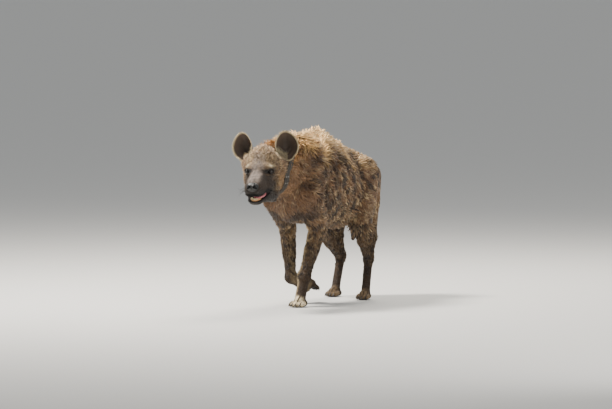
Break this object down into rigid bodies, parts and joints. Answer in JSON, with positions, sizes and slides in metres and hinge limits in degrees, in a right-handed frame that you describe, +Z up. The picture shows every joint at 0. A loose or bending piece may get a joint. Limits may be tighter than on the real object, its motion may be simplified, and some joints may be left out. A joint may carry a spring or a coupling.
{
  "type": "spotted hyena model",
  "caption": "Life-size still model of a spotted hyena walking with its head low and right forepaw lifted, wearing a dark strap collar.",
  "frame": {"origin": "on the floor, under the middle of the animal's box", "axes": "+Z up; the animal faces -Y; its own left side is +X"},
  "size_m": [0.356, 1.2546, 0.8261],
  "materials": {
    "face_fur": "short fur, grey brown, darker on the muzzle",
    "nose": "moist black pebbled skin",
    "tooth": "ivory teeth on an orange pink gum",
    "tongue": "moist pink",
    "eye": "glossy dark brown",
    "ear": "thin short-furred ear, dark inside with a pale rim",
    "coat": "long coarse fur, golden tan to grey brown, with dark spots",
    "leg_fur": "short dark brown fur with spots above",
    "strap": "dull dark grey belting",
    "housing": "dull dark grey moulded case"
  },
  "bodies": {
    "root": {"head": "face_fur", "jaw": "face_fur", "nose": "nose", "teeth_lower": "tooth", "tongue": "tongue", "eye_left": "eye", "eye_right": "eye", "ear_left": "ear", "ear_right": "ear", "neck": "coat", "torso": "coat", "tail": "coat", "foreleg_left": "leg_fur", "forepaw_left": "leg_fur", "foreleg_right": "leg_fur", "forepaw_right": "leg_fur", "hindleg_left": "leg_fur", "hindpaw_left": "leg_fur", "hindleg_right": "leg_fur", "hindpaw_right": "leg_fur", "collar_strap": "strap", "collar_housing": "housing"}
  },
  "joints": []
}
